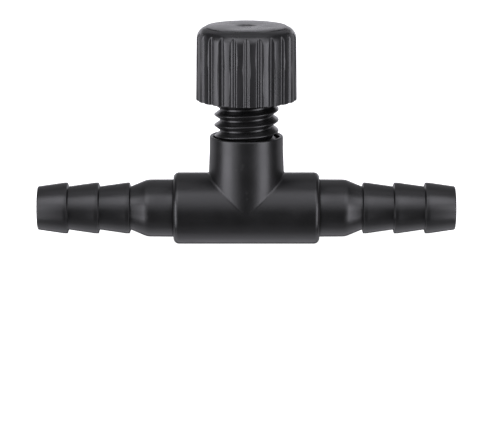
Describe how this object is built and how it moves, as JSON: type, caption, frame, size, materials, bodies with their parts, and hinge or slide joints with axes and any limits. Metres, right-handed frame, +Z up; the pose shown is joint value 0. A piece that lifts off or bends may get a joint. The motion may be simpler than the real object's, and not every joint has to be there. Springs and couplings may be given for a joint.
{
  "type": "inline air flow control valve",
  "caption": "Inline plastic needle valve with a barbed hose tail at each end and a fluted knob on a threaded spindle, for soft airline tube.",
  "frame": {"origin": "on the spindle's axis, level with the lowest line of the barrel, midway between the two tube ends", "axes": "+X along the flow from inlet to outlet, +Z up the spindle towards the knob, +Y to the back"},
  "size_m": [0.043, 0.0102, 0.0226],
  "materials": {
    "body_plastic": "satin moulded",
    "knob_plastic": "satin moulded, fluted",
    "stem_plastic": "satin moulded",
    "seal_rubber": "matt, greased",
    "seat_rubber": "matt",
    "needle_steel": "ground"
  },
  "bodies": {
    "valve_body": {"tee_body": "body_plastic", "inlet_barb": "body_plastic", "outlet_barb": "body_plastic", "seat_ring": "seat_rubber"},
    "seal": {"stem_o_ring": "seal_rubber"},
    "spindle": {"stem": "stem_plastic", "needle": "needle_steel", "knob": "knob_plastic"}
  },
  "joints": [
    {"name": "stem_rise", "type": "slide", "parent": "valve_body", "child": "seal", "axis": [0, 0, 1], "range_m": [-0.00193, 0]},
    {"name": "knob_turn", "type": "hinge", "parent": "seal", "child": "spindle", "pos_m": [0, 0, 0], "axis": [0, 0, 1], "range_deg": [-630, 0]}
  ],
  "couplings": [
    {"joint": "knob_turn", "follows": "stem_rise", "rad_per_m": 5712}
  ]
}
